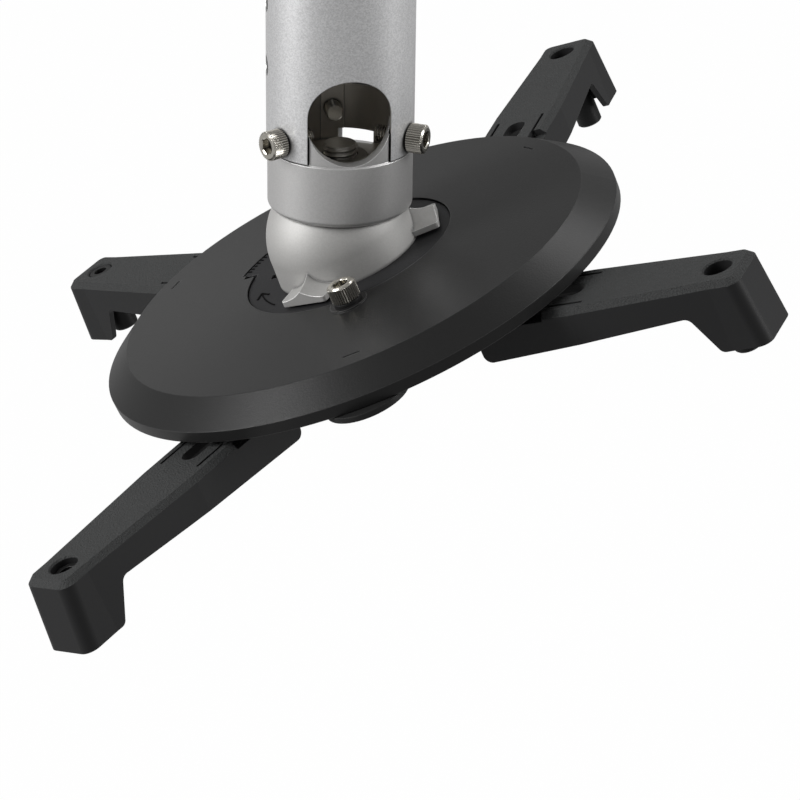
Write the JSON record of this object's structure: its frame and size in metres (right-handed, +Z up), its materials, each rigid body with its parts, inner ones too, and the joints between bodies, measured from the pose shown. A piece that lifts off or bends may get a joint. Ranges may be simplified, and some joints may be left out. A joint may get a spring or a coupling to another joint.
{
  "type": "projector ceiling mount",
  "caption": "Ceiling mount for a projector: telescoping pole, lockable ball joint, round disc cover and adjustable black arms with spacer sleeves at their tips.",
  "frame": {"origin": "middle of the ceiling plate's top face, where it meets the ceiling", "axes": "+Z up along the pole; the head leans towards -X; the pole's window faces -Y"},
  "size_m": [0.2466, 0.3122, 0.3306],
  "materials": {
    "casting": "satin silver paint over a casting",
    "silver_paint": "fine metallic silver paint with a sparkle",
    "steel_tube": "plain drawn tube",
    "nickel": "bright nickel plate, slightly warm",
    "zinc": "zinc plate",
    "black_steel": "blackened, with worn bright thread crests",
    "nylon": "plain nylon",
    "black_moulding": "fine matt",
    "charcoal_moulding": "satin, fine grain",
    "black_sheet": "black powder coat",
    "black_arm": "fine grain on top, smoother sides",
    "black_sleeve": "smooth black"
  },
  "bodies": {
    "ceiling": {"ceiling_plate": "casting", "plate_screws": "nickel", "inner_pole": "steel_tube"},
    "pole": {"outer_pole": "silver_paint", "height_bolt": "nickel", "height_washers": "zinc", "height_nut": "zinc", "collar": "casting", "collar_screws": "nickel"},
    "clamp": {"clamp_bolt": "black_steel", "clamp_ring": "black_steel", "clamp_cup": "zinc", "clamp_nut": "zinc"},
    "liner": {"friction_liner": "nylon"},
    "head": {"dome": "casting", "bayonet_ring": "black_moulding", "disc_cover": "charcoal_moulding", "lock_washer": "nickel", "lock_screw": "nickel", "hub_plate": "black_sheet", "hub_screws": "zinc", "hub_nuts": "zinc"},
    "arm_clamp_a": {"arm_screw_a": "nickel", "arm_washer_a": "zinc"},
    "arm_a": {"arm_a": "black_arm"},
    "spacer_a": {"spacer_a": "black_sleeve"},
    "arm_clamp_b": {"arm_screw_b": "nickel", "arm_washer_b": "zinc"},
    "arm_b": {"arm_b": "black_arm"},
    "spacer_b": {"spacer_b": "black_sleeve"},
    "arm_clamp_c": {"arm_screw_c": "nickel", "arm_washer_c": "zinc"},
    "arm_c": {"arm_c": "black_arm"},
    "spacer_c": {"spacer_c": "black_sleeve"},
    "arm_clamp_d": {"arm_screw_d": "nickel", "arm_washer_d": "zinc"},
    "arm_d": {"arm_d": "black_arm"},
    "spacer_d": {"spacer_d": "black_sleeve"}
  },
  "joints": [
    {"name": "height", "type": "slide", "parent": "ceiling", "child": "pole", "axis": [0, 0, -1], "range_m": [0, 0.06]},
    {"name": "swivel", "type": "hinge", "parent": "pole", "child": "clamp", "pos_m": [0, 0, -0.2363], "axis": [0, 0, 1], "continuous": true},
    {"name": "tilt", "type": "hinge", "parent": "clamp", "child": "liner", "pos_m": [0, 0, -0.2363], "axis": [0, 1, 0], "range_deg": [-0.88, 47.12]},
    {"name": "spin", "type": "hinge", "parent": "liner", "child": "head", "pos_m": [0, 0, -0.2363], "axis": [-0.3927, 0, 0.9197], "continuous": true},
    {"name": "arm_turn_a", "type": "hinge", "parent": "head", "child": "arm_clamp_a", "pos_m": [-0.01686, -0.0382, -0.26965], "axis": [-0.3927, 0, 0.9197], "range_deg": [-12, 12]},
    {"name": "arm_reach_a", "type": "slide", "parent": "arm_clamp_a", "child": "arm_a", "axis": [-0.6225, -0.7361, -0.2658], "range_m": [-0.01, 0.0085]},
    {"name": "spacer_drop_a", "type": "slide", "parent": "arm_a", "child": "spacer_a", "axis": [0.3927, 0, -0.9197], "range_m": [-0.0013, 0.0067]},
    {"name": "arm_turn_b", "type": "hinge", "parent": "head", "child": "arm_clamp_b", "pos_m": [-0.03286, 0.0637, -0.27648], "axis": [-0.3927, 0, 0.9197], "range_deg": [-12, 12]},
    {"name": "arm_reach_b", "type": "slide", "parent": "arm_clamp_b", "child": "arm_b", "axis": [-0.6802, 0.673, -0.2904], "range_m": [-0.01, 0.0244]},
    {"name": "spacer_drop_b", "type": "slide", "parent": "arm_b", "child": "spacer_b", "axis": [0.3927, 0, -0.9197], "range_m": [0, 0.008]},
    {"name": "arm_turn_c", "type": "hinge", "parent": "head", "child": "arm_clamp_c", "pos_m": [0.05175, 0.0637, -0.24036], "axis": [-0.3927, 0, 0.9197], "range_deg": [-12, 12]},
    {"name": "arm_reach_c", "type": "slide", "parent": "arm_clamp_c", "child": "arm_c", "axis": [0.3206, 0.9373, 0.1369], "range_m": [-0.01, 0.0172]},
    {"name": "spacer_drop_c", "type": "slide", "parent": "arm_c", "child": "spacer_c", "axis": [0.3927, 0, -0.9197], "range_m": [-0.0053, 0.0027]},
    {"name": "arm_turn_d", "type": "hinge", "parent": "head", "child": "arm_clamp_d", "pos_m": [0.03575, -0.0382, -0.24719], "axis": [-0.3927, 0, 0.9197], "range_deg": [-12, 12]},
    {"name": "arm_reach_d", "type": "slide", "parent": "arm_clamp_d", "child": "arm_d", "axis": [0.8223, -0.4478, 0.3511], "range_m": [-0.01, 0.0089]},
    {"name": "spacer_drop_d", "type": "slide", "parent": "arm_d", "child": "spacer_d", "axis": [0.3927, 0, -0.9197], "range_m": [-0.0043, 0.0037]}
  ]
}
